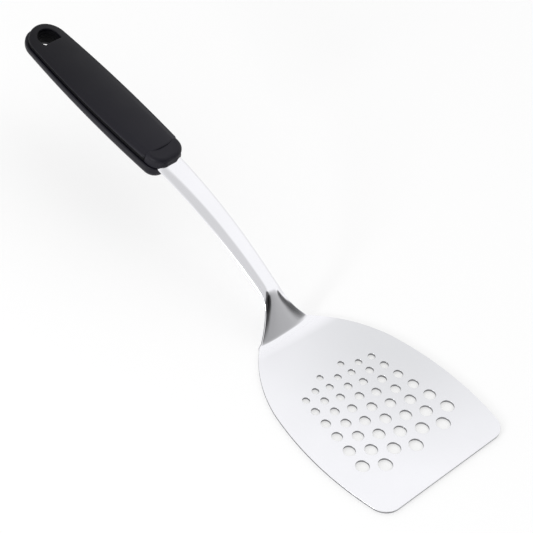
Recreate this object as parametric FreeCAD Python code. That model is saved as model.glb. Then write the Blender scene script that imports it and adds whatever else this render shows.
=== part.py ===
import FreeCAD, Part
import math
import os

# Grill spatula (perforated turner).  Millimetres, +Z up.
# +X runs along the tool to the front edge of the blade, +Y is the left side.
# The origin is the middle of the flat underside of the blade.

# ---- steel sheet: blade, neck, shank and tang in one stamping ----------
SHEET = 1.5                     # sheet thickness
FRONT_X = 65.0                  # straight front edge of the blade
WIDEST_X = 22.4                 # station where the blade is widest
HALF_WIDTH = 54.0               # half of the blade width there
SIDE_RADIUS = 180.0             # gentle outward curve of the long sides
SHOULDER_X = -25.0              # where the long side runs into the shoulder
FRONT_CORNER_RADIUS = 11.0
CREASE_X = -64.1                # crease between the flat blade and the neck
CREASE_END_X = -65.4            # the crease curls back at both ends
CREASE_HALF_WIDTH = 20.4
SHOULDER_MID = (-47.0, 37.0)    # point on the shoulder curve between crease and side

# ---- drain holes: seven columns fanned out, rows staggered -------------
FIRST_ROW_X = -27.6             # first row of columns 1 and 3 on each side
STAGGER = 5.9                   # columns 0 and 2 start this much further forward
ROWS = 7                        # the outermost columns leave out their first row
ROW_PITCH = 8.3                 # first step between holes of one column
ROW_PITCH_GROWTH = 0.82         # each step is this much longer than the one before
ROW_BOW_RADIUS = 262.0          # rows are shallow arcs
FAN_X = -198.3                  # the columns spread from this point on the axis
COLUMN_SLOPE = 0.0499           # sideways rise per millimetre, per column
FIRST_HOLE_RADIUS = 2.15
HOLE_RADIUS_GROWTH = 0.0345     # radius gained per millimetre towards the front
HOLE_EASING = 0.4               # the upper rim of each hole is eased by this much

# ---- handle frame: u runs forward along the handle, w is its upward normal
HANDLE_X = -169.6               # front end of the handle on its own axis
HANDLE_Z = 52.2
HANDLE_TILT = 6.28              # degrees, the handle rises to the rear
SHELL_LENGTH = 128.0            # the lower shell reaches furthest to the rear
LID_LENGTH = 125.8              # the rear end leans forward towards the top
FRONT_HALF = 12.5               # half width of the handle at its front end
MIDDLE_HALF = 14.5              # half width at the swelling of the handle
MIDDLE_U = -62.0
REAR_HALF = 12.2                # half width just before the round rear end
REAR_U = -117.8
FRONT_TOP = 8.1                 # height of the top above the handle axis, front
FRONT_BOTTOM = -8.4
TAPER = 0.98                    # degrees, the top falls towards the rear
FLOOR_TAPER = 0.85              # degrees, the underside rises towards the rear
LID_CROWN_RADIUS = 48.0         # crown across the top cover
LID_FLOOR = 3.3                 # underside of the top cover
LID_INSET = 0.3
LID_FRONT_U = -10.0             # seam to the collar, at the middle
SEAM_RADIUS = 42.0              # the seam bows forward
LID_CORNER = 2.5                # plan rounding where the seam meets the sides
LID_EDGE_RADIUS = 1.0           # rounded upper edge of the cover
WAIST_INSET = 1.1               # depth of the groove between cover and shell
WAIST_LENGTH = 127.0            # the groove runs out towards the rear end
RIB_INSET = 4.6
RIB_HEIGHT = 0.9                # rib that keys the top cover to the core
RIB_FRONT_U = -20.0
SHELL_INSET = 2.6               # wall of the lower shell
SHELL_FLOOR = -4.0              # the lower core half rests here
SHELL_FRONT_U = -1.8
SHELL_EDGE_RADIUS = 4.4         # rounded lower edge of the shell
SHELL_RIM_RADIUS = 0.6          # rounded upper rim of the shell
SHELL_CORNER = 8.0              # plan rounding of its two front corners
CORE_FRONT_U = -12.0
LOWER_CORE_FRONT_U = -6.0
LOWER_CORE_CORNER = 4.0
COLLAR_FRONT_U = -1.0
COLLAR_HALF = 12.0
COLLAR_TOP = 7.3
COLLAR_BASE = 0.2
COLLAR_CORNER = 9.0
COLLAR_EDGE_RADIUS = 2.4
TONGUE_REAR_U = -17.0
TONGUE_HALF = 4.0
TONGUE_BASE = 1.6

# ---- shank, seen in the handle frame ------------------------------------
TANG_START_U = -20.0            # the flat tang runs back from here
TANG_END_U = -96.0
TANG_HALF = 7.0
TANG_CORNER = 3.0
ARCH_START_U = -18.0            # the flat tang begins to arch here
ARCH_END_U = -4.0               # full arch from here on
MOUTH_HALF = 9.1                # half width of the shank at the handle mouth
SHANK_TAPER = 0.0235            # half width lost per millimetre towards the neck
ARCH_HEIGHT = 3.2               # crown above the rolled down edges
CROWN_W = 2.7                   # crown height above the handle axis at the mouth
SHANK_DROP = 0.026              # slope of the shank against the handle at the mouth
SHANK_BEND = 0.00194            # the shank curves down by bend * u * u
NECK_U = 111.0                  # neck line meets the top of the blade here
NECK_W = -38.8                  # its height there
NECK_SLOPE = 1.131
NECK_ROUNDING = 0.8             # softness of the bend between shank and neck
FLATTEN_START_U = 86.0          # the arch flattens between these two stations
FLATTEN_END_U = 102.0
NECK_ARCH = 0.9                 # arch left in the neck
FLARE_START_U = 92.5            # the neck widens from here to the crease
FLARE = 13.9
FLARE_POWER = 1.75

# ---- pins and hanging hole ----------------------------------------------
PIN_RADIUS = 2.0
PIN_TOP = 3.3
PIN_BOTTOM = -4.0
FRONT_PIN_U = -34.0
REAR_PIN_U = -82.0
HANG_U = -114.8
HANG_RADIUS = 4.9
MOUTH_RADIUS = 6.6              # D shaped mouth in the top cover
MOUTH_U = -114.3
MOUTH_FRONT_U = -109.8


def vec(x, y, z=0.0):
    return FreeCAD.Vector(x, y, z)


def smooth_step(value, start, end):
    t = (value - start) / (end - start)
    t = min(1.0, max(0.0, t))
    return t * t * (3.0 - 2.0 * t)


def handle_to_part(shape):
    """Move a shape drawn in the handle frame to its place on the tool."""
    placed = shape.copy()
    placed.rotate(vec(0, 0, 0), vec(0, 1, 0), HANDLE_TILT)
    placed.translate(vec(HANDLE_X, 0, HANDLE_Z))
    return placed


# ---- steel sheet ----------------------------------------------------------
def spine_height(u):
    """Height of the crown line of the sheet above the handle axis."""
    if u < ARCH_END_U:
        rise = smooth_step(u, ARCH_START_U, ARCH_END_U)
        return SHEET / 2 + (CROWN_W - SHEET / 2) * rise
    run = u - ARCH_END_U
    shank = CROWN_W - SHANK_DROP * run - SHANK_BEND * run ** 2
    neck = NECK_W + NECK_SLOPE * (NECK_U - u)
    gap = abs(shank - neck)
    blend = NECK_ROUNDING * math.log(1.0 + math.exp(-gap / NECK_ROUNDING))
    return min(shank, neck) - blend


def sheet_half_width(u):
    """Half width of tang, shank and neck."""
    if u < 0.0:
        return TANG_HALF + (MOUTH_HALF - TANG_HALF) * smooth_step(u, ARCH_START_U, 0.0)
    width = MOUTH_HALF - SHANK_TAPER * u
    reach = (u - FLARE_START_U) / (NECK_U - FLARE_START_U)
    if reach > 0.0:
        width += FLARE * reach ** FLARE_POWER
    return width


def arch_height(u):
    """Height of the crown above the edges of the sheet."""
    if u < ARCH_END_U:
        return ARCH_HEIGHT * smooth_step(u, ARCH_START_U, ARCH_END_U)
    flat = smooth_step(u, FLATTEN_START_U, FLATTEN_END_U)
    return ARCH_HEIGHT + (NECK_ARCH - ARCH_HEIGHT) * flat


def section_wire(u):
    """Closed outline of the bent sheet, square to the crown line at station u."""
    step = 0.05
    slope = (spine_height(u + step) - spine_height(u - step)) / (2 * step)
    length = math.hypot(1.0, slope)
    normal = vec(-slope / length, 0, 1.0 / length)
    centre = vec(u, 0, spine_height(u))
    half = sheet_half_width(u)
    arch = arch_height(u)
    count = 8
    top = []
    bottom = []
    for i in range(-count, count + 1):
        t = i / count
        tilt = -3.0 * arch * t * abs(t) / half
        norm = math.hypot(1.0, tilt)
        y = half * t
        n = -arch * abs(t) ** 3
        top.append(centre + vec(0, y, 0) + normal * n)
        y_low = y + SHEET * tilt / norm
        n_low = n - SHEET / norm
        bottom.append(centre + vec(0, y_low, 0) + normal * n_low)
    upper = Part.BSplineCurve()
    upper.interpolate(top)
    lower = Part.BSplineCurve()
    lower.interpolate(bottom[::-1])
    return Part.Wire([
        upper.toShape(),
        Part.makeLine(top[-1], bottom[-1]),
        lower.toShape(),
        Part.makeLine(bottom[0], top[0]),
    ])


def spaced(start, end, steps):
    """Evenly spaced stations from start up to, but not including, end."""
    return [start + (end - start) * i / steps for i in range(steps)]


def build_shank():
    """Arched shank and neck, from just inside the handle down through the crease."""
    stations = spaced(TANG_START_U, 1.0, 7)
    stations += spaced(4.0, 80.0, 6)
    stations += spaced(80.0, 98.0, 9)
    stations += spaced(98.0, 116.0, 6)
    body = Part.makeLoft([section_wire(u) for u in stations], True, False)
    return handle_to_part(body)


def build_tang():
    length = TANG_START_U - TANG_END_U
    tang = Part.makeBox(length, 2 * TANG_HALF, SHEET, vec(TANG_END_U, -TANG_HALF, -SHEET / 2))
    rear = [e for e in tang.Edges if abs(e.CenterOfMass.x - TANG_END_U) < 0.01
            and abs(e.CenterOfMass.z) < 0.01]
    tang = tang.makeFillet(TANG_CORNER, rear)
    for u in (FRONT_PIN_U, REAR_PIN_U):
        tang = tang.cut(Part.makeCylinder(PIN_RADIUS, 10, vec(u, 0, -5)))
    return handle_to_part(tang)


def side_y(x):
    """Half width of the blade on its long sides."""
    return HALF_WIDTH - SIDE_RADIUS + math.sqrt(SIDE_RADIUS ** 2 - (x - WIDEST_X) ** 2)


def build_blade():
    crease_a = vec(CREASE_END_X, CREASE_HALF_WIDTH)
    crease_b = vec(CREASE_END_X, -CREASE_HALF_WIDTH)
    shoulder = vec(SHOULDER_X, side_y(SHOULDER_X))
    shoulder_mid = vec(SHOULDER_MID[0], SHOULDER_MID[1])
    widest = vec(WIDEST_X, HALF_WIDTH)
    front = vec(FRONT_X, side_y(FRONT_X))

    def mirror(point):
        return vec(point.x, -point.y)

    edges = [
        Part.Arc(crease_b, vec(CREASE_X, 0), crease_a).toShape(),
        Part.Arc(crease_a, shoulder_mid, shoulder).toShape(),
        Part.Arc(shoulder, widest, front).toShape(),
        Part.makeLine(front, mirror(front)),
        Part.Arc(mirror(front), mirror(widest), mirror(shoulder)).toShape(),
        Part.Arc(mirror(shoulder), mirror(shoulder_mid), crease_b).toShape(),
    ]
    plate = Part.Face(Part.Wire(edges)).extrude(vec(0, 0, SHEET))
    corners = [e for e in plate.Edges if abs(e.CenterOfMass.x - FRONT_X) < 0.01
               and abs(e.CenterOfMass.z - SHEET / 2) < 0.01]
    plate = plate.makeFillet(FRONT_CORNER_RADIUS, corners)
    return plate.cut(Part.makeCompound([hole_tool(*hole) for hole in drain_holes()]))


def hole_tool(x, y, radius):
    """Punch for one drain hole with an eased upper rim."""
    shank = Part.makeCylinder(radius - HOLE_EASING, SHEET + 2, vec(x, y, -1))
    rim = Part.makeCone(radius - HOLE_EASING, radius + HOLE_EASING, 2 * HOLE_EASING,
                        vec(x, y, SHEET - HOLE_EASING))
    return shank.fuse(rim)


def drain_holes():
    """Centre and radius of every drain hole."""
    holes = []
    for column in range(-3, 4):
        start = FIRST_ROW_X
        if column % 2 == 0:
            start += STAGGER
        first = 1 if abs(column) == 3 else 0
        for row in range(first, ROWS):
            x_axis = start + ROW_PITCH * row + ROW_PITCH_GROWTH * row * (row - 1) / 2
            y = column * COLUMN_SLOPE * (x_axis - FAN_X)
            x = x_axis - y * y / (2 * ROW_BOW_RADIUS)
            radius = FIRST_HOLE_RADIUS + HOLE_RADIUS_GROWTH * (x_axis - FIRST_ROW_X)
            holes.append((x, y, radius))
    return holes


def build_sheet():
    shank = build_shank()
    below = Part.makeBox(200, 200, 100, vec(-150, -100, -100))
    shank = shank.cut(below)
    return shank.fuse(build_blade()).fuse(build_tang()).removeSplitter()


# ---- handle ---------------------------------------------------------------
def handle_face(rear_length):
    """Plan outline of the handle, left long at the front."""
    side = Part.Circle(vec(0, FRONT_HALF), vec(MIDDLE_U, MIDDLE_HALF), vec(REAR_U, REAR_HALF))
    radius = side.Radius
    centre = side.Center
    reach = rear_length + centre.x
    rear_radius = (radius ** 2 - reach ** 2 - centre.y ** 2) / (2 * (radius - reach))
    rear_centre = vec(rear_radius - rear_length, 0)
    outward = (rear_centre - centre).normalize()
    tangent = rear_centre + outward * rear_radius
    front_u = 10.0
    front_half = centre.y + math.sqrt(radius ** 2 - (front_u - centre.x) ** 2)
    middle = vec(MIDDLE_U, centre.y + math.sqrt(radius ** 2 - (MIDDLE_U - centre.x) ** 2))
    left = Part.Arc(vec(front_u, front_half), middle, tangent).toShape()
    rear = Part.Arc(tangent, vec(-rear_length, 0), vec(tangent.x, -tangent.y)).toShape()
    right = Part.Arc(vec(tangent.x, -tangent.y), vec(middle.x, -middle.y),
                     vec(front_u, -front_half)).toShape()
    front = Part.makeLine(vec(front_u, -front_half), vec(front_u, front_half))
    return Part.Face(Part.Wire([left, rear, right, front]))


def handle_block(rear_length, inset, low, high, front_u, corner):
    """Upright block with the handle outline, cut off at front_u with round corners."""
    wire = handle_face(rear_length).OuterWire
    if inset:
        wire = wire.makeOffset2D(-inset)
    face = Part.Face(wire)
    face.translate(vec(0, 0, low))
    block = face.extrude(vec(0, 0, high - low))
    block = block.cut(Part.makeBox(40, 80, high - low + 2, vec(front_u, -40, low - 1)))
    if corner:
        middle = (low + high) / 2
        edges = [e for e in block.Edges if abs(e.CenterOfMass.x - front_u) < 0.01
                 and abs(e.CenterOfMass.z - middle) < 0.01]
        block = block.makeFillet(corner, edges)
    return block


def crown_tool(top, radius):
    """Everything outside a long, slightly tilted barrel that crowns an upper surface."""
    barrel = Part.makeCylinder(radius, 400, vec(-200, 0, top - radius), vec(1, 0, 0))
    barrel.rotate(vec(0, 0, top), vec(0, 1, 0), -TAPER)
    return Part.makeBox(300, 100, 60, vec(-200, -50, 0)).cut(barrel)


def floor_tool():
    """Everything below the tapering underside of the handle."""
    slab = Part.makeBox(300, 100, 30, vec(-200, -50, FRONT_BOTTOM - 30))
    slab.rotate(vec(0, 0, FRONT_BOTTOM), vec(0, 1, 0), FLOOR_TAPER)
    return slab


def main_solid(shape):
    """The largest solid, without the chips left by a cut."""
    return max(shape.Solids, key=lambda solid: solid.Volume)


def outer_edges(shape, low, high):
    """Edges lying between two heights."""
    return [e for e in shape.Edges if low < e.BoundBox.ZMin and e.BoundBox.ZMax < high]


def hang_bore(low, high):
    return Part.makeCylinder(HANG_RADIUS, high - low, vec(HANG_U, 0, low))


def hang_mouth():
    """D shaped mouth, round to the rear and straight to the front."""
    round_part = Part.makeCylinder(MOUTH_RADIUS, 20, vec(MOUTH_U, 0, LID_FLOOR - 5))
    length = MOUTH_FRONT_U - MOUTH_U
    square = Part.makeBox(length, 2 * MOUTH_RADIUS, 20, vec(MOUTH_U, -MOUTH_RADIUS, LID_FLOOR - 5))
    rear_half = Part.makeBox(30, 40, 20, vec(MOUTH_U - 30, -20, LID_FLOOR - 5))
    return round_part.common(rear_half).fuse(square).removeSplitter()


def build_grip_top():
    lid = handle_block(LID_LENGTH, LID_INSET, LID_FLOOR, FRONT_TOP + 2, 5.0, 0.0)
    seam = Part.makeCylinder(SEAM_RADIUS, 40, vec(LID_FRONT_U - SEAM_RADIUS, 0, -20))
    keep = seam.fuse(Part.makeBox(120, 80, 40, vec(LID_FRONT_U - SEAM_RADIUS - 120, -40, -20)))
    lid = lid.common(keep)
    ends = [e for e in lid.Edges if e.BoundBox.ZLength > 5.0 and e.CenterOfMass.x > -20.0]
    lid = lid.makeFillet(LID_CORNER, ends)
    lid = lid.cut(crown_tool(FRONT_TOP, LID_CROWN_RADIUS))
    lid = lid.makeFillet(LID_EDGE_RADIUS, outer_edges(lid, LID_FLOOR + 0.2, 20))
    return lid.cut(key_rib(LID_FLOOR - 1)).cut(hang_mouth())


def key_rib(low):
    """Rib on top of the core; drawn deeper, it is the groove for it in the cover."""
    return handle_block(LID_LENGTH, RIB_INSET, low, LID_FLOOR + RIB_HEIGHT, RIB_FRONT_U, 0.0)


def build_core_upper(sheet, tongue):
    core = handle_block(WAIST_LENGTH, WAIST_INSET, 0.0, LID_FLOOR, CORE_FRONT_U, 0.0)
    core = core.fuse(key_rib(LID_FLOOR).cut(hang_mouth())).cut(tongue)
    core = core.cut(hang_bore(-1, 20)).cut(pins())
    return main_solid(handle_to_part(core.removeSplitter()).cut(sheet))


def lower_core_block(high):
    """Body of the lower core half; drawn higher, it is the pocket for it in the shell."""
    return handle_block(SHELL_LENGTH, SHELL_INSET, SHELL_FLOOR, high, LOWER_CORE_FRONT_U,
                        LOWER_CORE_CORNER)


def build_core_lower(sheet):
    core = lower_core_block(0.0).cut(hang_bore(-20, 1)).cut(pins())
    return main_solid(handle_to_part(core).cut(sheet))


def build_grip_bottom(sheet):
    shell = handle_block(SHELL_LENGTH, 0.0, FRONT_BOTTOM - 1, 0.0, SHELL_FRONT_U, SHELL_CORNER)
    shell = shell.cut(floor_tool())
    shell = shell.makeFillet(SHELL_EDGE_RADIUS, outer_edges(shell, FRONT_BOTTOM - 2, -4.0))
    shell = shell.makeFillet(SHELL_RIM_RADIUS, outer_edges(shell, -0.1, 0.1))
    shell = shell.cut(lower_core_block(1.0)).cut(hang_bore(-20, 1))
    return main_solid(handle_to_part(shell).cut(sheet))


def collar_tongue():
    return Part.makeBox(CORE_FRONT_U - TONGUE_REAR_U, 2 * TONGUE_HALF, LID_FLOOR - TONGUE_BASE,
                        vec(TONGUE_REAR_U, -TONGUE_HALF, TONGUE_BASE))


def build_collar(sheet, lid, tongue):
    length = COLLAR_FRONT_U - CORE_FRONT_U
    block = Part.makeBox(length, 2 * COLLAR_HALF, COLLAR_TOP - COLLAR_BASE,
                         vec(CORE_FRONT_U, -COLLAR_HALF, COLLAR_BASE))
    corners = [e for e in block.Edges if abs(e.CenterOfMass.x - COLLAR_FRONT_U) < 0.01
               and abs(abs(e.CenterOfMass.y) - COLLAR_HALF) < 0.01]
    block = block.makeFillet(COLLAR_CORNER, corners)
    rim = [e for e in outer_edges(block, COLLAR_TOP - 0.1, COLLAR_TOP + 0.1)
           if e.CenterOfMass.x > CORE_FRONT_U + 0.1]
    block = block.makeFillet(COLLAR_EDGE_RADIUS, rim)
    block = block.fuse(tongue).cut(lid).removeSplitter()
    return main_solid(handle_to_part(block).cut(sheet))


def pins():
    return Part.makeCompound([build_pin(FRONT_PIN_U), build_pin(REAR_PIN_U)])


def build_pin(u):
    return Part.makeCylinder(PIN_RADIUS, PIN_TOP - PIN_BOTTOM, vec(u, 0, PIN_BOTTOM))


def build_parts():
    sheet = build_sheet()
    lid = build_grip_top()
    grip_top = handle_to_part(lid)
    tongue = collar_tongue()
    return {
        "blade_and_shank": sheet,
        "front_collar": build_collar(sheet, lid, tongue),
        "core_upper": build_core_upper(sheet, tongue),
        "core_lower": build_core_lower(sheet),
        "grip_top": grip_top,
        "grip_bottom": build_grip_bottom(sheet),
        "tang_pin_front": handle_to_part(build_pin(FRONT_PIN_U)),
        "tang_pin_rear": handle_to_part(build_pin(REAR_PIN_U)),
    }


os.makedirs("parts", exist_ok=True)
for node, shape in build_parts().items():
    shape.exportStep("parts/" + node + ".step")
    print(node, "solids", len(shape.Solids), "valid", shape.isValid(), "mm3", round(shape.Volume))
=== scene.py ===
"""Looks of the grill spatula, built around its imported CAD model."""
import math

import bmesh
import bpy
import numpy as np
from mathutils import Matrix, Vector
from mathutils.geometry import delaunay_2d_cdt


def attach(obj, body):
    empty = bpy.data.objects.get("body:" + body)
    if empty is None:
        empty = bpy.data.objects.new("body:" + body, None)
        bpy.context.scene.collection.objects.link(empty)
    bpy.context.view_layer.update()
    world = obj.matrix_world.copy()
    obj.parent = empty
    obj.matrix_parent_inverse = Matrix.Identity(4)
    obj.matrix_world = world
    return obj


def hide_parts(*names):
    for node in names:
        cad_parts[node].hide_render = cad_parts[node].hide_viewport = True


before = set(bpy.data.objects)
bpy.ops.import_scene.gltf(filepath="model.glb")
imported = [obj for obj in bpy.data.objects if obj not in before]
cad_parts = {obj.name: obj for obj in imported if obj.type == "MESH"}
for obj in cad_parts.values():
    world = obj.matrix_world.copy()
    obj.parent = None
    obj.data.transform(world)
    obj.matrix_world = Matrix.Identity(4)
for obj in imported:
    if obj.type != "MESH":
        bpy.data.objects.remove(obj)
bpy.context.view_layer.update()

# Lengths in the sheet section are in millimetres, and MM turns them into metres.
MM = 0.001

# ---- bent sheet, the same sheet as the CAD part ----------------------------
SHEET = 1.5
FRONT_X = 65.0
WIDEST_X = 22.4
HALF_WIDTH = 54.0
SIDE_RADIUS = 180.0
SHOULDER_X = -25.0
FRONT_CORNER_RADIUS = 11.0
CREASE_END = (-65.4, 20.4)
SHOULDER_MID = (-47.0, 37.0)
GRID_END_X = -60.0              # the neck grid runs this far onto the flat blade

FIRST_ROW_X = -27.6             # drain holes, as in the CAD part
STAGGER = 5.9
ROWS = 7
ROW_PITCH = 8.3
ROW_PITCH_GROWTH = 0.82
ROW_BOW_RADIUS = 262.0
FAN_X = -198.3
COLUMN_SLOPE = 0.0499
FIRST_HOLE_RADIUS = 2.15
HOLE_RADIUS_GROWTH = 0.0345

HANDLE_X = -169.6               # handle frame: u forward, w up
HANDLE_Z = 52.2
HANDLE_TILT = math.radians(6.28)
TANG_END_U = -96.0
TANG_START_U = -20.0
TANG_HALF = 7.0
TANG_CORNER = 3.0
ARCH_START_U = -18.0
ARCH_END_U = -4.0
MOUTH_HALF = 9.1
SHANK_TAPER = 0.0235
ARCH_HEIGHT = 3.2
CROWN_W = 2.7
SHANK_DROP = 0.026
SHANK_BEND = 0.00194
NECK_U = 111.0
NECK_W = -38.8
NECK_SLOPE = 1.131
NECK_ROUNDING = 0.8
FLATTEN_START_U = 86.0
FLATTEN_END_U = 102.0
NECK_ARCH = 0.9
FLARE_START_U = 92.5
FLARE = 13.9
FLARE_POWER = 1.75
PIN_RADIUS = 2.0
PIN_STATIONS_U = (-34.0, -82.0)

CREASE_SOFTNESS = 0.55          # size of the bend radius along the crease
EDGE_ROUND = 0.3                # rounding of the sheet's outline
HOLE_ROUND = 0.2                # and of the rims of the punched drain holes
PIN_HOLE_ROUND = 0.1
GUARD = 0.22                    # flat ring beside each rounded edge
ROUND_STEPS = 4
HOLE_CUT_AND_SHADE_ROWS = range(4, 10)    # rows of faces of a drain hole that show the cut metal, darkened further with painted shade
EDGE_CUT_AND_SHADE_ROWS = range(5, 6)     # and of the outline
GRID_COLUMNS = 20
HOLE_POINTS = 48

# ---- softened handle parts, in metres from here on ----------------------------
LID_FLOOR = 0.0033              # underside of the top cover above the handle axis
SHOULDER_START = 0.66           # share of the cover's half width where it starts to fall
SHOULDER_DROP = 0.0009          # how far its long sides fall
SHOULDER_BIN = 0.003            # length of the stretches in which its width is measured
SHOULDER_REAR_U = -0.100        # the drop grows between these two stations
SHOULDER_FRONT_U = -0.025
REAR_SHARE = 0.2                # share of the drop that is there at the rear

# ---- materials ------------------------------------------------------------------
BLADE_REAR_X = -0.062           # middle of the change from polished shank to brushed blade
BLADE_CHANGE = 0.004            # and half its length
PAINTED_HIGHLIGHT_END_X = -0.050           # painted highlight: the blade's colour is kept bright from the crease to here
PAINTED_HIGHLIGHT_FADE = 0.010
PAINTED_SHADE_CENTRE = (-0.025, 0.050, 0.0015)   # painted shade: the blade's colour is darker round this point
PAINTED_SHADE_REACH = (0.010, 0.112)
# colour in the middle of the painted shade, and the steel's own colour
PAINTED_SHADE_STEEL = (0.665, 0.67, 0.69)
BRIGHT_STEEL = (0.83, 0.83, 0.86)
HANDLE_REAR_X = -0.300          # painted light: the plastic's colour gets paler between these two stations
HANDLE_FRONT_X = -0.180

# ---- camera ----------------------------------------------------------------
CAMERA_AZIMUTH = math.radians(38.07)
CAMERA_ELEVATION = math.radians(46.36)
CAMERA_ROLL = math.radians(10.90)
CAMERA_DISTANCE = 1.35
CAMERA_TARGET = Vector((-0.1086, 0.0269, 0.0015))
CAMERA_LENS = 154.07            # on a 36 mm wide sensor


# ---- studio ------------------------------------------------------------------
WORLD_BRIGHT = 1.13             # brightness of the studio all round
WORLD_FRONT = 0.44              # and of its open front
OPEN_FRONT = (0.98, 0.15, 0.10)
# Grey and black flags: direction, cosines of the soft outer and the full half angle, and
# the brightness left in front of the flag.
FLAGS = (
    ((0.96, 0.04, 0.28), 0.945, 0.983, 0.08),
    ((0.90, -0.38, 0.22), 0.900, 0.970, 0.12),
    ((0.80, -0.12, 0.58), 0.940, 0.985, 0.15),
    ((0.66, 0.75, 0.00), 0.970, 0.990, 0.10),
    ((0.25, -0.45, 0.86), 0.710, 0.906, 0.70),
)


# ---- shape of the sheet ------------------------------------------------------
def smooth_step(value, start, end):
    t = np.clip((value - start) / (end - start), 0.0, 1.0)
    return t * t * (3.0 - 2.0 * t)


def spine_height(u):
    """Crown line of the sheet above the handle axis."""
    rise = smooth_step(u, ARCH_START_U, ARCH_END_U)
    tang = SHEET / 2 + (CROWN_W - SHEET / 2) * rise
    run = np.maximum(u - ARCH_END_U, 0.0)
    shank = CROWN_W - SHANK_DROP * run - SHANK_BEND * run ** 2
    neck = NECK_W + NECK_SLOPE * (NECK_U - u)
    blend = NECK_ROUNDING * np.log1p(np.exp(-np.abs(shank - neck) / NECK_ROUNDING))
    return np.where(u < ARCH_END_U, tang, np.minimum(shank, neck) - blend)


def half_width(u):
    mouth = TANG_HALF + (MOUTH_HALF - TANG_HALF) * smooth_step(u, ARCH_START_U, 0.0)
    reach = np.maximum((u - FLARE_START_U) / (NECK_U - FLARE_START_U), 0.0)
    shank = MOUTH_HALF - SHANK_TAPER * u + FLARE * reach ** FLARE_POWER
    return np.where(u < 0.0, mouth, shank)


def arch_height(u):
    tang = ARCH_HEIGHT * smooth_step(u, ARCH_START_U, ARCH_END_U)
    flat = smooth_step(u, FLATTEN_START_U, FLATTEN_END_U)
    shank = ARCH_HEIGHT + (NECK_ARCH - ARCH_HEIGHT) * flat
    return np.where(u < ARCH_END_U, tang, shank)


def bent_point(u, share):
    """x and z of the bent sheet at station u, and at this share of its half width."""
    step = 0.05
    slope = (spine_height(u + step) - spine_height(u - step)) / (2 * step)
    length = np.hypot(1.0, slope)
    sag = -arch_height(u) * np.abs(share) ** 3
    along = u - slope / length * sag
    above = spine_height(u) + sag / length
    c, s = math.cos(HANDLE_TILT), math.sin(HANDLE_TILT)
    x = HANDLE_X + c * along + s * above
    z = HANDLE_Z - s * along + c * above
    return x, z, c + s * slope


def station_of(x, y=None):
    """Station u above the plan point x, y; without y it is the station of the sheet's edge."""
    u = (x - HANDLE_X) / math.cos(HANDLE_TILT)
    for _ in range(12):
        share = 1.0 if y is None else np.minimum(np.abs(y) / half_width(u), 1.15)
        at, _z, rate = bent_point(u, share)
        u = u + (x - at) / rate
    return u


def sheet_height(x, y):
    """Top of the sheet above the plan point x, y: bent sheet and flat blade in one."""
    u = station_of(x, y)
    share = np.minimum(np.abs(y) / half_width(u), 1.15)
    bent = bent_point(u, share)[1]
    over = (bent - SHEET) / CREASE_SOFTNESS
    return SHEET + CREASE_SOFTNESS * (np.maximum(over, 0.0) + np.log1p(np.exp(-np.abs(over))))


def sheet_normal(x, y):
    step = 0.02
    dx = (sheet_height(x + step, y) - sheet_height(x - step, y)) / (2 * step)
    dy = (sheet_height(x, y + step) - sheet_height(x, y - step)) / (2 * step)
    normal = np.stack([-dx, -dy, np.ones_like(dx)], axis=-1)
    return normal / np.linalg.norm(normal, axis=-1, keepdims=True)


def arc_points(start, middle, end, count):
    """Points on the circle arc through three points, without the last one."""
    (ax, ay), (bx, by), (cx, cy) = start, middle, end
    d = 2 * (ax * (by - cy) + bx * (cy - ay) + cx * (ay - by))
    a2, b2, c2 = ax ** 2 + ay ** 2, bx ** 2 + by ** 2, cx ** 2 + cy ** 2
    ox = (a2 * (by - cy) + b2 * (cy - ay) + c2 * (ay - by)) / d
    oy = (a2 * (cx - bx) + b2 * (ax - cx) + c2 * (bx - ax)) / d
    radius = math.hypot(ax - ox, ay - oy)
    first = math.atan2(ay - oy, ax - ox)
    turn = math.atan2(cy - oy, cx - ox) - first
    turn = (turn + math.pi) % (2 * math.pi) - math.pi
    angles = [first + turn * i / count for i in range(count)]
    return [(ox + radius * math.cos(a), oy + radius * math.sin(a)) for a in angles]


def side_y(x):
    return HALF_WIDTH - SIDE_RADIUS + math.sqrt(SIDE_RADIUS ** 2 - (x - WIDEST_X) ** 2)


def blade_edge():
    """Left half of the blade outline, from the crease end to the front edge."""
    shoulder = (SHOULDER_X, side_y(SHOULDER_X))
    radius = FRONT_CORNER_RADIUS
    centre_x = FRONT_X - radius
    side_centre_y = HALF_WIDTH - SIDE_RADIUS
    reach = SIDE_RADIUS - radius
    centre_y = side_centre_y + math.sqrt(reach ** 2 - (centre_x - WIDEST_X) ** 2)
    lean = math.atan2(centre_y - side_centre_y, centre_x - WIDEST_X)
    tangent = (centre_x + radius * math.cos(lean), centre_y + radius * math.sin(lean))
    knuckle = (centre_x + radius * math.cos(lean / 2), centre_y + radius * math.sin(lean / 2))
    points = arc_points(CREASE_END, SHOULDER_MID, shoulder, 40)
    points += arc_points(shoulder, (WIDEST_X, HALF_WIDTH), tangent, 50)
    points += arc_points(tangent, knuckle, (FRONT_X, centre_y), 14)
    points.append((FRONT_X, centre_y))
    return points


def drain_holes():
    holes = []
    for column in range(-3, 4):
        start = FIRST_ROW_X
        if column % 2 == 0:
            start += STAGGER
        first = 1 if abs(column) == 3 else 0
        for row in range(first, ROWS):
            x_axis = start + ROW_PITCH * row + ROW_PITCH_GROWTH * row * (row - 1) / 2
            y = column * COLUMN_SLOPE * (x_axis - FAN_X)
            x = x_axis - y * y / (2 * ROW_BOW_RADIUS)
            radius = FIRST_HOLE_RADIUS + HOLE_RADIUS_GROWTH * (x_axis - FIRST_ROW_X)
            holes.append((x, y, radius - HOLE_ROUND))
    return holes


def pin_holes():
    return [(HANDLE_X + math.cos(HANDLE_TILT) * u, 0.0, PIN_RADIUS) for u in PIN_STATIONS_U]


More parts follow.
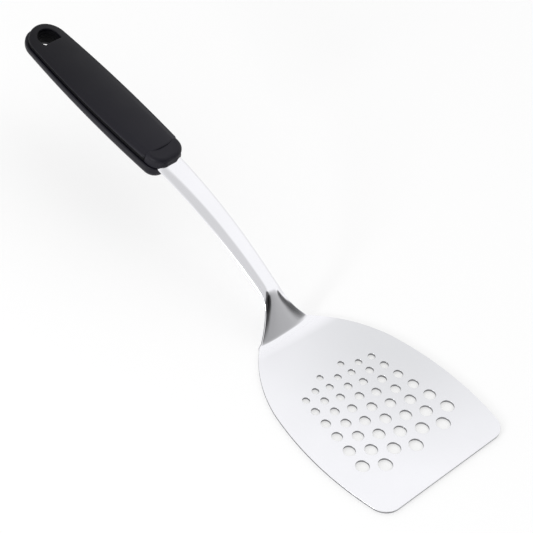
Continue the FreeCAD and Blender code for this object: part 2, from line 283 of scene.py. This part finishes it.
class SheetMesh:
    """Collects the top of the sheet, then adds its underside and its rounded edges."""

    def __init__(self):
        self.points = []
        self.faces = []
        self.loops = []

    def add(self, points):
        first = len(self.points)
        self.points += [tuple(p) for p in points]
        return list(range(first, len(self.points)))

    def fill(self, outline, holes, rounding):
        """Triangles between an outline, given by its vertices, and round holes."""
        rings = [outline]
        for x, y, radius in holes:
            angles = [2 * math.pi * i / HOLE_POINTS for i in range(HOLE_POINTS)]
            ring = self.add([(x + radius * math.cos(a), y + radius * math.sin(a)) for a in angles])
            self.loops.append((ring, rounding))
            rings.append(ring)
        flat = [i for ring in rings for i in ring]
        edges = []
        start = 0
        for ring in rings:
            count = len(ring)
            edges += [(start + i, start + (i + 1) % count) for i in range(count)]
            start += count
        coords = [Vector(self.points[i]) for i in flat]
        result = delaunay_2d_cdt(coords, edges, [], 1, 1e-6)
        origin = [flat[source[0]] for source in result[3]]
        for face in result[2]:
            corners = [origin[i] for i in face]
            middle = np.mean([self.points[i] for i in corners], axis=0)
            if all(math.hypot(middle[0] - x, middle[1] - y) > r for x, y, r in holes):
                self.faces.append(corners)

    def build(self):
        """Points and faces of the closed sheet, and which of its faces are cut metal with painted
        shade.
        """
        plan = np.array(self.points)
        x, y = plan[:, 0], plan[:, 1]
        normal = sheet_normal(x, y)
        top = np.stack([x, y, sheet_height(x, y)], axis=1)
        count = len(top)
        outward = np.zeros_like(top)
        for ring, rounding in self.loops:
            here = top[ring]
            tangent = np.roll(here, -1, axis=0) - np.roll(here, 1, axis=0)
            side = np.cross(normal[ring], tangent)
            outward[ring] = side / np.linalg.norm(side, axis=1, keepdims=True)
        edge = top.copy()
        for ring, rounding in self.loops:
            top[ring] = edge[ring] - outward[ring] * (rounding + GUARD)
        under = top - normal * SHEET
        points = [tuple(p) for p in top] + [tuple(p) for p in under]
        faces = [tuple(f) for f in self.faces]
        faces += [tuple(i + count for i in reversed(f)) for f in self.faces]
        cut_and_shade_faces = set()
        for ring, rounding in self.loops:
            rows = [list(ring)]
            for reach, depth in edge_profile(rounding):
                first = len(points)
                row = top[ring] + outward[ring] * reach - normal[ring] * depth
                points += [tuple(p) for p in row]
                rows.append(list(range(first, first + len(ring))))
            rows.append([i + count for i in ring])
            # The dark faces are cut metal and partly painted shade in the hole walls and along the
            # edge.
            cut_and_shade_rows = HOLE_CUT_AND_SHADE_ROWS if rounding == HOLE_ROUND else EDGE_CUT_AND_SHADE_ROWS
            for level, (upper, lower) in enumerate(zip(rows, rows[1:])):
                if level in cut_and_shade_rows:
                    cut_and_shade_faces.update(range(len(faces), len(faces) + len(ring)))
                for i in range(len(ring)):
                    j = (i + 1) % len(ring)
                    faces.append((upper[j], upper[i], lower[i], lower[j]))
        return points, faces, cut_and_shade_faces


def edge_profile(rounding):
    """Reach outwards and depth of the points that take an edge from the top to the underside."""
    steps = [math.pi / 2 * i / ROUND_STEPS for i in range(ROUND_STEPS + 1)]
    upper = [(GUARD + rounding * math.sin(a), rounding * (1 - math.cos(a))) for a in steps]
    return upper + [(reach, SHEET - depth) for reach, depth in reversed(upper)]


def neck_rows():
    """Plan stations of the grid, closer together where the sheet bends."""
    start = HANDLE_X + math.cos(HANDLE_TILT) * TANG_START_U
    coarse = list(np.arange(start, -100.0, 1.5))
    fine = list(np.arange(-100.0, GRID_END_X, 0.5))
    return coarse + fine + [GRID_END_X]


def grid_edge(x):
    """Half width of the sheet in plan, from the handle to the end of the grid."""
    if x <= CREASE_END[0]:
        return float(half_width(station_of(np.array([x])))[0])
    shoulder = (SHOULDER_X, side_y(SHOULDER_X))
    points = arc_points(CREASE_END, SHOULDER_MID, shoulder, 200)
    return float(np.interp(x, [p[0] for p in points], [p[1] for p in points]))


def tang_edge():
    """Left half of the tang's outline, from its rear end to where the grid starts."""
    rear_x = HANDLE_X + math.cos(HANDLE_TILT) * TANG_END_U
    inset = TANG_CORNER * (1 - math.sqrt(0.5))
    corner = arc_points((rear_x, TANG_HALF - TANG_CORNER),
                        (rear_x + inset, TANG_HALF - inset),
                        (rear_x + TANG_CORNER, TANG_HALF), 6)
    corner.append((rear_x + TANG_CORNER, TANG_HALF))
    side = np.linspace(rear_x + 8.0, neck_rows()[0] - 4.0, 12)
    return corner + [(x, TANG_HALF) for x in side]


def build_sheet():
    """The whole stamping: a grid on neck and shank, and filled plan faces at both ends."""
    mesh = SheetMesh()
    grid = []
    for x in neck_rows():
        half = grid_edge(x)
        shares = [2.0 * i / GRID_COLUMNS - 1.0 for i in range(GRID_COLUMNS + 1)]
        grid.append(mesh.add([(x, half * share) for share in shares]))
    for near, far in zip(grid, grid[1:]):
        for i in range(GRID_COLUMNS):
            mesh.faces.append([near[i], far[i], far[i + 1], near[i + 1]])
    edge = [p for p in blade_edge() if p[0] > GRID_END_X + 0.5]
    left = mesh.add(edge)
    right = mesh.add([(x, -y) for x, y in reversed(edge)])
    mesh.fill(left + right + grid[-1], drain_holes(), HOLE_ROUND)

    tang_left = tang_edge()
    rear_left = mesh.add(tang_left)
    rear_right = mesh.add([(x, -y) for x, y in reversed(tang_left)])
    mesh.fill(rear_left + grid[0][::-1] + rear_right, pin_holes(), PIN_HOLE_ROUND)
    side_left = [row[-1] for row in grid]
    side_right = [row[0] for row in grid]
    outline = rear_left + side_left + left + right + side_right[::-1] + rear_right
    mesh.loops.append((outline, EDGE_ROUND))
    points, faces, cut_and_shade_faces = mesh.build()
    piece = make_object("turner_sheet", np.array(points) * MM, faces)
    for i in cut_and_shade_faces:
        piece.data.polygons[i].material_index = 1
    return piece


def make_object(name, points, faces):
    """A smooth shaded object whose faces all look outwards."""
    data = bpy.data.meshes.new(name)
    data.from_pydata([tuple(p) for p in points], [], faces)
    data.validate()
    work = bmesh.new()
    work.from_mesh(data)
    bmesh.ops.recalc_face_normals(work, faces=work.faces)
    work.to_mesh(data)
    work.free()
    data.shade_smooth()
    piece = bpy.data.objects.new(name, data)
    bpy.context.scene.collection.objects.link(piece)
    return piece


# ---- moulded handle parts ----------------------------------------------------
def moulded(name, node, voxel, passes):
    """A finer copy of a CAD part, with every edge softened as in a mould."""
    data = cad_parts[node].data.copy()
    data.name = name
    data.materials.clear()
    work = bmesh.new()
    work.from_mesh(data)
    bmesh.ops.remove_doubles(work, verts=work.verts, dist=1e-6)
    work.to_mesh(data)
    work.free()
    piece = bpy.data.objects.new(name, data)
    bpy.context.scene.collection.objects.link(piece)
    remesh = piece.modifiers.new("even", "REMESH")
    remesh.mode = "VOXEL"
    remesh.voxel_size = voxel
    remesh.use_smooth_shade = True
    soften = piece.modifiers.new("soften", "SMOOTH")
    soften.factor = 0.5
    soften.iterations = passes
    graph = bpy.context.evaluated_depsgraph_get()
    piece.data = bpy.data.meshes.new_from_object(piece.evaluated_get(graph))
    piece.modifiers.clear()
    piece.data.shade_smooth()
    return piece


def round_shoulders(data):
    """Let the top cover fall away towards its long sides, more so at its front."""
    count = len(data.vertices)
    points = np.empty(count * 3)
    data.vertices.foreach_get("co", points)
    points = points.reshape(count, 3)
    c, s = math.cos(HANDLE_TILT), math.sin(HANDLE_TILT)
    x = points[:, 0] - HANDLE_X * MM
    z = points[:, 2] - HANDLE_Z * MM
    u = c * x - s * z
    w = s * x + c * z
    y = np.abs(points[:, 1])
    share = np.clip((w - LID_FLOOR) / (w.max() - LID_FLOOR), 0.0, 1.0)
    station = np.clip(((u - u.min()) / SHOULDER_BIN).astype(int), 0, None)
    half = np.zeros(station.max() + 1)
    np.maximum.at(half, station, y)
    beside = smooth_step(y / half[station], SHOULDER_START, 1.0)
    forward = smooth_step(u, SHOULDER_REAR_U, SHOULDER_FRONT_U)
    drop = SHOULDER_DROP * beside * (REAR_SHARE + (1.0 - REAR_SHARE) * forward) * share
    points[:, 0] -= s * drop
    points[:, 2] -= c * drop
    data.vertices.foreach_set("co", points.ravel())
    data.update()


# ---- materials ---------------------------------------------------------------
class Nodes:
    """Short calls to build a node tree."""

    def __init__(self, name):
        self.material = bpy.data.materials.new(name)
        self.material.use_nodes = True
        self.tree = self.material.node_tree
        self.shader = self.tree.nodes["Principled BSDF"]

    def new(self, kind, **values):
        node = self.tree.nodes.new(kind)
        for key, value in values.items():
            setattr(node, key, value)
        return node

    def link(self, source, target):
        self.tree.links.new(source, target)

    def object_position(self, scale=(1.0, 1.0, 1.0)):
        place = self.new("ShaderNodeTexCoord")
        stretch = self.new("ShaderNodeMapping")
        stretch.inputs["Scale"].default_value = scale
        self.link(place.outputs["Object"], stretch.inputs["Vector"])
        return stretch.outputs["Vector"]

    def noise(self, position, scale, detail):
        noise = self.new("ShaderNodeTexNoise")
        noise.inputs["Scale"].default_value = scale
        noise.inputs["Detail"].default_value = detail
        self.link(position, noise.inputs["Vector"])
        return noise.outputs["Fac"]

    def spread(self, value, low, high):
        """Map 0.3..0.7 of a noise value to low..high."""
        return self.ramp(value, 0.3, 0.7, low, high, "LINEAR")

    def ramp(self, value, start, end, low, high, kind="SMOOTHSTEP"):
        """A ramp from low at start to high at end."""
        reach = self.new("ShaderNodeMapRange", interpolation_type=kind)
        reach.inputs["From Min"].default_value = start
        reach.inputs["From Max"].default_value = end
        reach.inputs["To Min"].default_value = low
        reach.inputs["To Max"].default_value = high
        self.link(value, reach.inputs["Value"])
        return reach.outputs["Result"]

    def along_x(self, position):
        split = self.new("ShaderNodeSeparateXYZ")
        self.link(position, split.inputs["Vector"])
        return split.outputs["X"]

    def math(self, operation, first, second):
        node = self.new("ShaderNodeMath", operation=operation)
        self.link(first, node.inputs[0])
        self.link(second, node.inputs[1])
        return node.outputs["Value"]

    def mix(self, factor, low, high):
        """The value low where factor is 0 and high where it is 1."""
        mix = self.new("ShaderNodeMix", data_type="FLOAT")
        self.link(factor, in_use(mix.inputs, "Factor"))
        self.link(low, in_use(mix.inputs, "A"))
        self.link(high, in_use(mix.inputs, "B"))
        return in_use(mix.outputs, "Result")

    def blend(self, factor, low, high):
        """A colour between low and high."""
        mix = self.new("ShaderNodeMix", data_type="RGBA")
        in_use(mix.inputs, "A").default_value = (*low, 1.0)
        in_use(mix.inputs, "B").default_value = (*high, 1.0)
        self.link(factor, in_use(mix.inputs, "Factor"))
        return in_use(mix.outputs, "Result")

    def bump(self, height, distance, strength):
        bump = self.new("ShaderNodeBump")
        bump.inputs["Distance"].default_value = distance
        bump.inputs["Strength"].default_value = strength
        self.link(height, bump.inputs["Height"])
        return bump.outputs["Normal"]


def in_use(sockets, name):
    """The socket of that name which the node's data type uses."""
    return next(s for s in sockets if s.name == name and s.enabled)


def steel_material():
    """Brushed blade and polished shank, on one sheet, with painted shade and a painted highlight on
    the blade.
    """
    nodes = Nodes("turner_steel")
    shader = nodes.shader
    shader.inputs["Metallic"].default_value = 1.0
    shader.inputs["Anisotropic"].default_value = 0.3
    place = nodes.object_position()
    along = nodes.along_x(place)
    grain = nodes.noise(nodes.object_position((14.0, 900.0, 14.0)), 3.0, 4.0)
    cloud = nodes.noise(place, 24.0, 3.0)
    on_blade = nodes.ramp(along, BLADE_REAR_X - BLADE_CHANGE, BLADE_REAR_X + BLADE_CHANGE, 0.0, 1.0)
    blade_rough = nodes.spread(grain, 0.30, 0.38)
    shank_rough = nodes.spread(cloud, 0.09, 0.13)
    nodes.link(nodes.mix(on_blade, shank_rough, blade_rough), shader.inputs["Roughness"])
    nodes.link(nodes.bump(grain, 0.00002, 0.25), shader.inputs["Normal"])

    # Painted shade darkens the blade's colour round a point near its left rear; a painted highlight
    # keeps a band beside the crease bright.
    shade_distance = nodes.new("ShaderNodeVectorMath", operation="DISTANCE")
    shade_distance.inputs[1].default_value = PAINTED_SHADE_CENTRE
    nodes.link(place, shade_distance.inputs[0])
    clear = nodes.ramp(shade_distance.outputs["Value"], *PAINTED_SHADE_REACH, 0.0, 1.0)
    crease_highlight = nodes.ramp(along, PAINTED_HIGHLIGHT_END_X - PAINTED_HIGHLIGHT_FADE, PAINTED_HIGHLIGHT_END_X, 1.0, 0.0)
    painted_light = nodes.math("MAXIMUM", clear, crease_highlight)
    shade_and_mottle = nodes.math("MULTIPLY", painted_light, nodes.spread(cloud, 0.85, 1.0))
    nodes.link(nodes.blend(shade_and_mottle, PAINTED_SHADE_STEEL, BRIGHT_STEEL), shader.inputs["Base Color"])
    return nodes.material


def cut_edge_and_shade_material():
    """The punched and cut edges of the sheet, rougher than its faces and darker, partly as cut
    metal and partly as painted shade in the hole walls and along the edge.
    """
    nodes = Nodes("cut_steel_and_shade")
    shader = nodes.shader
    shader.inputs["Metallic"].default_value = 1.0
    tone = nodes.noise(nodes.object_position(), 700.0, 2.0)
    nodes.link(nodes.blend(nodes.spread(tone, 0.0, 1.0), (0.20, 0.20, 0.21), (0.32, 0.32, 0.33)),
               shader.inputs["Base Color"])
    nodes.link(nodes.spread(tone, 0.35, 0.55), shader.inputs["Roughness"])
    return nodes.material


def plastic_material(name, shaded_rear_tone, lit_front_tone, roughness, specular):
    """Black moulded plastic with a fine pebble grain, with painted light that makes its colour
    paler towards the blade.
    """
    nodes = Nodes(name)
    shader = nodes.shader
    place = nodes.object_position()
    # Painted light: the colour gets paler towards the blade.
    forward = nodes.ramp(nodes.along_x(place), HANDLE_REAR_X, HANDLE_FRONT_X, 0.0, 1.0)
    cloud = nodes.noise(place, 30.0, 4.0)
    shade_and_mottle = nodes.math("MULTIPLY", forward, nodes.spread(cloud, 0.85, 1.0))
    nodes.link(nodes.blend(shade_and_mottle, shaded_rear_tone, lit_front_tone), shader.inputs["Base Color"])
    worn = nodes.noise(place, 60.0, 3.0)
    nodes.link(nodes.spread(worn, roughness - 0.04, roughness + 0.04), shader.inputs["Roughness"])
    shader.inputs["Specular IOR Level"].default_value = specular
    pebbles = nodes.noise(place, 2600.0, 2.0)
    nodes.link(nodes.bump(pebbles, 0.00003, 0.35), shader.inputs["Normal"])
    return nodes.material


def pin_material():
    """Turned steel of the hidden pins."""
    nodes = Nodes("pin_steel")
    shader = nodes.shader
    shader.inputs["Metallic"].default_value = 1.0
    shader.inputs["Base Color"].default_value = (0.6, 0.6, 0.62, 1.0)
    turned = nodes.noise(nodes.object_position((40.0, 40.0, 900.0)), 4.0, 2.0)
    nodes.link(nodes.spread(turned, 0.25, 0.4), shader.inputs["Roughness"])
    return nodes.material


def dress(piece, node, material):
    """Let a piece stand for its CAD node, riding on the part, in its material."""
    piece.data.materials.append(material)
    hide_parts(node)
    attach(piece, "root")


def paint(node, material):
    """Give a CAD part that shows as it is a material."""
    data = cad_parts[node].data
    data.materials.clear()
    data.materials.append(material)


# ---- studio --------------------------------------------------------------------
def build_floor():
    """A large white floor, just under the tool."""
    bpy.ops.mesh.primitive_plane_add(size=6.0, location=(0.0, 0.0, -0.0002))
    floor = bpy.context.object
    floor.name = "floor"
    nodes = Nodes("floor_white")
    nodes.shader.inputs["Base Color"].default_value = (0.5, 0.5, 0.5, 1.0)
    nodes.shader.inputs["Roughness"].default_value = 1.0
    nodes.shader.inputs["Specular IOR Level"].default_value = 0.0
    nodes.shader.inputs["Emission Color"].default_value = (1.0, 1.0, 1.0, 1.0)
    nodes.shader.inputs["Emission Strength"].default_value = 0.485
    floor.data.materials.append(nodes.material)


def softbox(name, toward, distance, width, height, power):
    """A rectangular soft light in a given direction from the tool, facing it."""
    data = bpy.data.lights.new(name, "AREA")
    data.shape = "RECTANGLE"
    data.size = width
    data.size_y = height
    data.energy = power
    light = bpy.data.objects.new(name, data)
    bpy.context.scene.collection.objects.link(light)
    direction = Vector(toward).normalized()
    light.location = CAMERA_TARGET + direction * distance
    light.rotation_euler = direction.to_track_quat("Z", "Y").to_euler()
    light.visible_camera = False


def build_world():
    """A bright, even studio, darker where its open front is, with flags."""
    world = bpy.data.worlds.new("studio")
    world.use_nodes = True
    bpy.context.scene.world = world
    tree = world.node_tree
    back = tree.nodes["Background"]
    place = tree.nodes.new("ShaderNodeTexCoord")

    def toward(direction, near, far, low, high):
        """low away from a direction and high towards it, between two cosines."""
        dot = tree.nodes.new("ShaderNodeVectorMath")
        dot.operation = "DOT_PRODUCT"
        dot.inputs[1].default_value = Vector(direction).normalized()
        tree.links.new(place.outputs["Generated"], dot.inputs[0])
        reach = tree.nodes.new("ShaderNodeMapRange")
        reach.interpolation_type = "SMOOTHSTEP"
        reach.inputs["From Min"].default_value = near
        reach.inputs["From Max"].default_value = far
        reach.inputs["To Min"].default_value = low
        reach.inputs["To Max"].default_value = high
        tree.links.new(dot.outputs["Value"], reach.inputs["Value"])
        return reach.outputs["Result"]

    def product(first, second):
        times = tree.nodes.new("ShaderNodeMath")
        times.operation = "MULTIPLY"
        tree.links.new(first, times.inputs[0])
        tree.links.new(second, times.inputs[1])
        return times.outputs["Value"]

    light = toward(OPEN_FRONT, 0.72, 0.96, WORLD_BRIGHT, WORLD_FRONT)
    for direction, outer, inner, share in FLAGS:
        light = product(light, toward(direction, outer, inner, 1.0, share))
    tree.links.new(light, back.inputs["Strength"])
    back.inputs["Color"].default_value = (1.0, 1.0, 1.0, 1.0)


def build_camera():
    """The camera looks at the target from its azimuth and elevation, rolled about its axis."""
    data = bpy.data.cameras.new("camera")
    data.lens = CAMERA_LENS
    data.sensor_width = 36.0
    data.sensor_fit = "HORIZONTAL"
    data.clip_start = 0.01
    camera = bpy.data.objects.new("camera", data)
    bpy.context.scene.collection.objects.link(camera)
    ce = math.cos(CAMERA_ELEVATION)
    back = Vector((ce * math.sin(CAMERA_AZIMUTH), -ce * math.cos(CAMERA_AZIMUTH),
                   math.sin(CAMERA_ELEVATION)))
    level = Vector((0.0, 0.0, 1.0)).cross(back).normalized()
    upright = back.cross(level)
    c, s = math.cos(CAMERA_ROLL), math.sin(CAMERA_ROLL)
    right = level * c + upright * s
    up = upright * c - level * s
    turn = Matrix((right, up, back)).transposed()
    camera.matrix_world = Matrix.Translation(CAMERA_TARGET + back * CAMERA_DISTANCE) @ turn.to_4x4()
    bpy.context.scene.camera = camera


steel = steel_material()
# Each plastic carries painted light: a darker tone at the rear and a paler tone at the front.
grip = plastic_material("grip_plastic", (0.0005, 0.0003, 0.003), (0.008, 0.0075, 0.013), 0.52, 0.22)
shell = plastic_material("shell_plastic", (0.002, 0.0015, 0.006), (0.005, 0.0045, 0.009), 0.33, 0.2)
core = plastic_material("core_plastic", (0.001, 0.001, 0.002), (0.004, 0.004, 0.005), 0.6, 0.08)
pin = pin_material()
sheet = build_sheet()
dress(sheet, "blade_and_shank", steel)
# The cut faces carry dark metal that is partly painted shade in the hole walls and along the edge.
sheet.data.materials.append(cut_edge_and_shade_material())
top_cover = moulded("top_cover", "grip_top", 0.0003, 6)
round_shoulders(top_cover.data)
dress(top_cover, "grip_top", grip)
dress(moulded("lower_shell", "grip_bottom", 0.00035, 6), "grip_bottom", shell)
dress(moulded("nose", "front_collar", 0.0002, 6), "front_collar", grip)
dress(moulded("core_top", "core_upper", 0.00035, 4), "core_upper", core)
paint("core_lower", core)
paint("tang_pin_front", pin)
paint("tang_pin_rear", pin)

build_floor()
build_world()
softbox("front_softbox", (0.10, -0.95, 0.26), 1.3, 0.2, 0.2, 5.0)
build_camera()
bpy.context.scene.view_settings.view_transform = "Standard"
